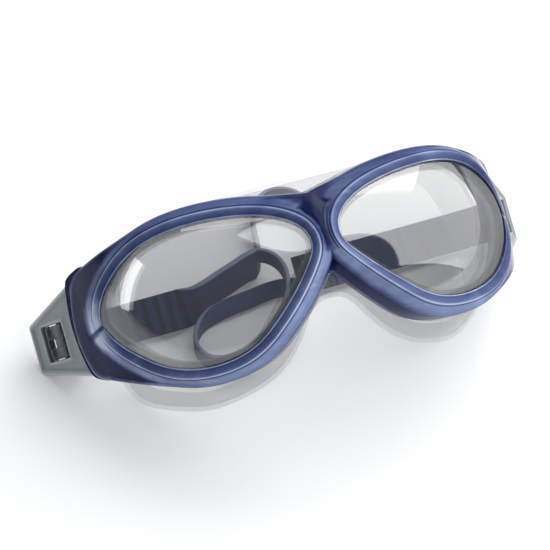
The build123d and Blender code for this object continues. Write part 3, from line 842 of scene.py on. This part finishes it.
def rounded(corners, radii, count):
    """Closed outline with rounded corners, as count points that start at the first corner."""
    corners = [np.array(c, float) for c in corners]
    line = []
    for i, corner in enumerate(corners):
        before, after = corners[i - 1], corners[(i + 1) % len(corners)]
        to_before, to_after = unit(before - corner), unit(after - corner)
        half_turn = np.arccos(np.dot(to_before, to_after)) / 2
        cut = radii[i] / np.tan(half_turn)
        start, end = corner + to_before * cut, corner + to_after * cut
        middle = corner + unit(to_before + to_after) * radii[i] / np.sin(half_turn)
        for t in np.linspace(0, 1, 9):
            line.append(middle + unit((start - middle) * (1 - t) + (end - middle) * t) * radii[i])
    line = np.array(line + [line[0]])
    length = np.concatenate([[0], np.cumsum(np.linalg.norm(np.diff(line, axis=0), axis=1))])
    where = np.linspace(0, length[-1], count, endpoint=False)
    return np.stack([np.interp(where, length, line[:, k]) for k in (0, 1)], axis=1)


def arm_plate(side):
    """Plate between the arm's outline and its window, with a raised border and a sunken middle; a
    highlight is painted on the border's bevel and round the window, and shade down the window's wall.
    """
    outer = rounded(ARM_OUTLINE, [0.6, 2.0, 2.0, 0.6], ARM_COLUMNS)
    hole = rounded(WINDOW, [0.5] * 4, ARM_COLUMNS)
    inward = np.roll(outer, -1, 0) - np.roll(outer, 1, 0)
    inward = unit(np.stack([inward[:, 1], -inward[:, 0]], axis=1))
    # Border rows: distance in from the outline, height, and painted lightness.
    border = [(0.0, PLATE_BACK, 0.3), (0.0, -2.5, 0.35), (0.05, -2.1, 0.6), (0.3, -1.7, 0.9),
              (0.7, -1.4, 0.95), (1.1, -1.28, 0.8), (1.6, -1.22, 0.62), (2.2, -1.28, 0.5),
              (2.7, -1.6, 0.42)]
    rows = [(outer + inward * d, h, light) for d, h, light in border]
    last = outer + inward * border[-1][0]
    rim = hole + unit(hole - hole.mean(0)) * 1.3
    for share in (0.15, 0.35, 0.55, 0.75, 0.92):
        rows.append((last * (1 - share) + rim * share, -1.75 - 0.1 * sin(pi * share),
                     0.46 + 0.06 * sin(3 * share)))
    # A painted highlight round the window's rim, and painted shade down its wall.
    rows += [(rim, -1.55, 0.7), (hole + (rim - hole) * 0.6, -1.3, 0.85),
             (hole + (rim - hole) * 0.25, -1.35, 0.6), (hole, -1.7, 0.3), (hole, -3.2, 0.1),
             (hole, PLATE_BACK, 0.1)]
    rows += [(hole * (1 - share) + outer * share, PLATE_BACK, 0.3) for share in (0.3, 0.6, 0.9)]
    points = [arm_point(side, flat[:, 0], np.full(ARM_COLUMNS, h), flat[:, 1])
              for flat, h, _ in rows]
    shade = np.repeat([light for _, _, light in rows], ARM_COLUMNS)
    grid = grid_faces(len(rows), ARM_COLUMNS, True, True)
    return make_mesh("plate", np.concatenate(points), grid, shade=shade)


def profile_along_up(side, outline, low, high, bevel=0.25):
    """Solid with an outline of (along, below) points, between two heights, with soft edges."""
    outline = np.array(outline, float)
    points = [arm_point(side, outline[:, 0], outline[:, 1], np.full(len(outline), up))
              for up in (low, high)]
    n = len(outline)
    faces = [(i, (i + 1) % n, n + (i + 1) % n, n + i) for i in range(n)]
    faces += [tuple(range(n)), tuple(range(2 * n - 1, n - 1, -1))]
    obj = make_mesh("block", np.concatenate(points), faces)
    work = bmesh.new()
    work.from_mesh(obj.data)
    edges = [e for e in work.edges if e.calc_face_angle(0.0) > radians(35)]
    bmesh.ops.bevel(work, geom=edges, offset=bevel * MM, segments=3, affect="EDGES", profile=0.5)
    work.to_mesh(obj.data)
    work.free()
    tidy_mesh(obj)
    return obj


def disc(along, below, radius, count=36, first=0.0, last=360.0):
    """Round outline, or the arc of one between two angles in degrees."""
    angles = np.radians(np.linspace(first, last, count, endpoint=last - first < 360))
    return [(along + radius * cos(a), below + radius * sin(a)) for a in angles]


def arm(name, side):
    """Buckle arm: plate, hinge knuckle and the two cheeks that carry the roller."""
    pieces = [arm_plate(side)]
    strap_low = ARM_MID - STRAP_WIDTH / 2 - CHEEK_GAP
    strap_high = ARM_MID + STRAP_WIDTH / 2 + CHEEK_GAP
    for low, high in ((strap_low - CHEEK, strap_low), (strap_high, strap_high + CHEEK)):
        cheek = [(15.5, -2.4)] + disc(20.5, -8.4, 3.0, 20, 190.0, 350.0) + [(25.5, -2.4)]
        pieces.append(profile_along_up(side, cheek, low, high))
    knuckle = disc(HINGE_ALONG, HINGE_BELOW, KNUCKLE_RADIUS)
    pieces.append(profile_along_up(side, knuckle, *KNUCKLE_SPAN, 0.3))
    piece = joined(name + "_arm_moulding", pieces)
    # The right arm is painted darker than the left one, as painted shade.
    if side > 0:
        for value in piece.data.attributes["shade"].data:
            value.value *= RIGHT_ARM_PAINTED_SHADE
    finish_piece(piece, name + "_arm", "arm_smoke", arm_smoke, name + "_arm")


def release_lever(name, side):
    """Rocking lever in the arm's window: thumb pad and toothed jaw, thinned over its spring."""
    pad = [(14.6, -2.3), (15.6, -1.9), (17.0, -1.75), (18.6, -1.9), (20.0, -2.2), (21.6, -2.35),
           (23.0, -2.2), (24.2, -1.75), (25.2, -1.7), (26.1, -2.2), (26.4, -3.1), (26.0, -4.1),
           (24.9, -4.6), (23.7, -4.2), (22.6, -3.9), (21.9, -3.9), (21.4, -4.6), (20.8, -3.9),
           (20.1, -3.9), (19.6, -4.6), (19.0, -3.9), (18.3, -3.9), (17.8, -4.6), (17.2, -3.9),
           (16.5, -3.9), (16.0, -4.6), (15.4, -3.9), (14.6, -3.7)]
    parts = []
    for low, high in ((-4.5, 0.0), (3.2, 8.5)):
        parts.append(profile_along_up(side, pad, low, high, 0.2))
    middle = [p for p in pad if p[0] < 22.3]
    parts.append(profile_along_up(side, middle, *COVER_SPAN, 0.05))
    cover = [(22.0, -2.3), (22.6, -2.2), (23.6, -1.85), (24.2, -1.55), (24.9, -1.42), (25.6, -1.6),
             (26.2, -2.2), (25.7, -2.3), (25.2, -1.85), (24.6, -1.8), (23.9, -2.1), (22.6, -2.5)]
    parts.append(profile_along_up(side, cover, *COVER_SPAN, 0.03))
    piece = joined(name + "_lever_moulding", parts)
    finish_piece(piece, name + "_lever", "lever_dark", lever_dark, name + "_release_lever")


def lever_spring(name, side):
    """Wire torsion spring: the coil round the lever's pin."""
    turns, wire, radius = 5, 0.2, 0.95
    angles = np.linspace(0, 2 * pi * turns, 24 * turns)
    along = PIN_ALONG + radius * np.cos(angles)
    below = PIN_BELOW + radius * np.sin(angles)
    up = np.linspace(0.7, 2.5, len(angles))
    line = arm_point(side, along, below, up)
    tangent = unit(np.gradient(line, axis=0))
    first = unit(np.cross(tangent, UP_DIRECTION))
    second = np.cross(tangent, first)
    rows = [line + wire * (first * cos(a) + second * sin(a))
            for a in np.linspace(0, 2 * pi, 8, endpoint=False)]
    faces = grid_faces(8, len(line), True, False)
    faces.append(tuple(r * len(line) for r in range(8)))
    faces.append(tuple(r * len(line) + len(line) - 1 for r in range(8)))
    piece = make_mesh(name + "_spring_wire", np.concatenate(rows), faces, smooth=70.0)
    finish_piece(piece, name + "_arm", "pin_steel", pin_steel, name + "_lever_spring")


front_frame()
rear_frame()
lenses_and_seals()
face_skirt()
head_strap()
for name, side in SIDES.items():
    strap_tail(name, side)
    arm(name, side)
    release_lever(name, side)
    lever_spring(name, side)

# The rollers, axles and pins are the frame's own nodes.
for name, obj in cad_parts.items():
    if not obj.hide_render:
        own = roller_grey if name.endswith("_roller") else pin_steel
        obj.data.materials.clear()
        obj.data.materials.append(own)

# ---------------------------------------------------------------- floor, light and camera

# Soft boxes: where each stands, its two sides, its roll in degrees and its power.
LIGHTS = {
    "back_box": ((0.3, 0.85, 1.0), (1.2, 0.7), 0.0, 6.6),
    "right_card": ((0.83, -0.085, 0.6), (2.0, 1.66), 26.5, 27.0),
    "left_card": ((-0.955, 0.33, 0.27), (0.12, 0.6), 29.0, 0.9),
}


def stage():
    """Pale floor with a faint glow, a dim world and the soft boxes, which the camera can't see."""
    bpy.ops.mesh.primitive_plane_add(size=40.0, location=(0, 0, 0))
    floor = bpy.context.object
    floor.name = "floor"
    material, _, shader = new_material("floor_white")
    shader.inputs["Base Color"].default_value = (0.9, 0.9, 0.9, 1)
    shader.inputs["Roughness"].default_value = 0.9
    shader.inputs["Specular IOR Level"].default_value = 0.0
    shader.inputs["Emission Color"].default_value = (1, 1, 1, 1)
    shader.inputs["Emission Strength"].default_value = 0.14
    floor.data.materials.append(material)
    world = bpy.data.worlds.new("studio")
    world.use_nodes = True
    sky = world.node_tree.nodes["Background"]
    sky.inputs["Color"].default_value = (0.9, 0.95, 1, 1)
    sky.inputs["Strength"].default_value = 0.25
    bpy.context.scene.world = world
    bpy.context.scene.view_settings.view_transform = "Standard"
    for name, (place, size, roll, power) in LIGHTS.items():
        light = bpy.data.lights.new(name, "AREA")
        light.shape = "RECTANGLE"
        light.size, light.size_y = size
        light.energy = power
        lamp = bpy.data.objects.new(name, light)
        lamp.location = place
        lamp.visible_camera = False
        facing = (Vector((0, 0, 0.03)) - Vector(place)).to_track_quat("-Z", "Y")
        lamp.rotation_euler = (facing @ Quaternion((0, 0, 1), radians(roll))).to_euler()
        bpy.context.scene.collection.objects.link(lamp)


def camera():
    """Camera high in front of the mask, to its left, with a slight roll."""
    data = bpy.data.cameras.new("camera")
    data.lens = 102.1
    data.sensor_width = 36.0
    data.clip_start = 0.01
    obj = bpy.data.objects.new("camera", data)
    right = Vector((0.93498, -0.35468, -0.00472))
    down = Vector((-0.26197, -0.68151, -0.68331))
    ahead = Vector((0.23914, 0.64012, -0.73011))
    turn = Matrix((right, -down, -ahead)).transposed()
    obj.matrix_world = Matrix.Translation((-0.1528, -0.3919, 0.4677)) @ turn.to_4x4()
    bpy.context.scene.collection.objects.link(obj)
    bpy.context.scene.camera = obj


stage()
camera()
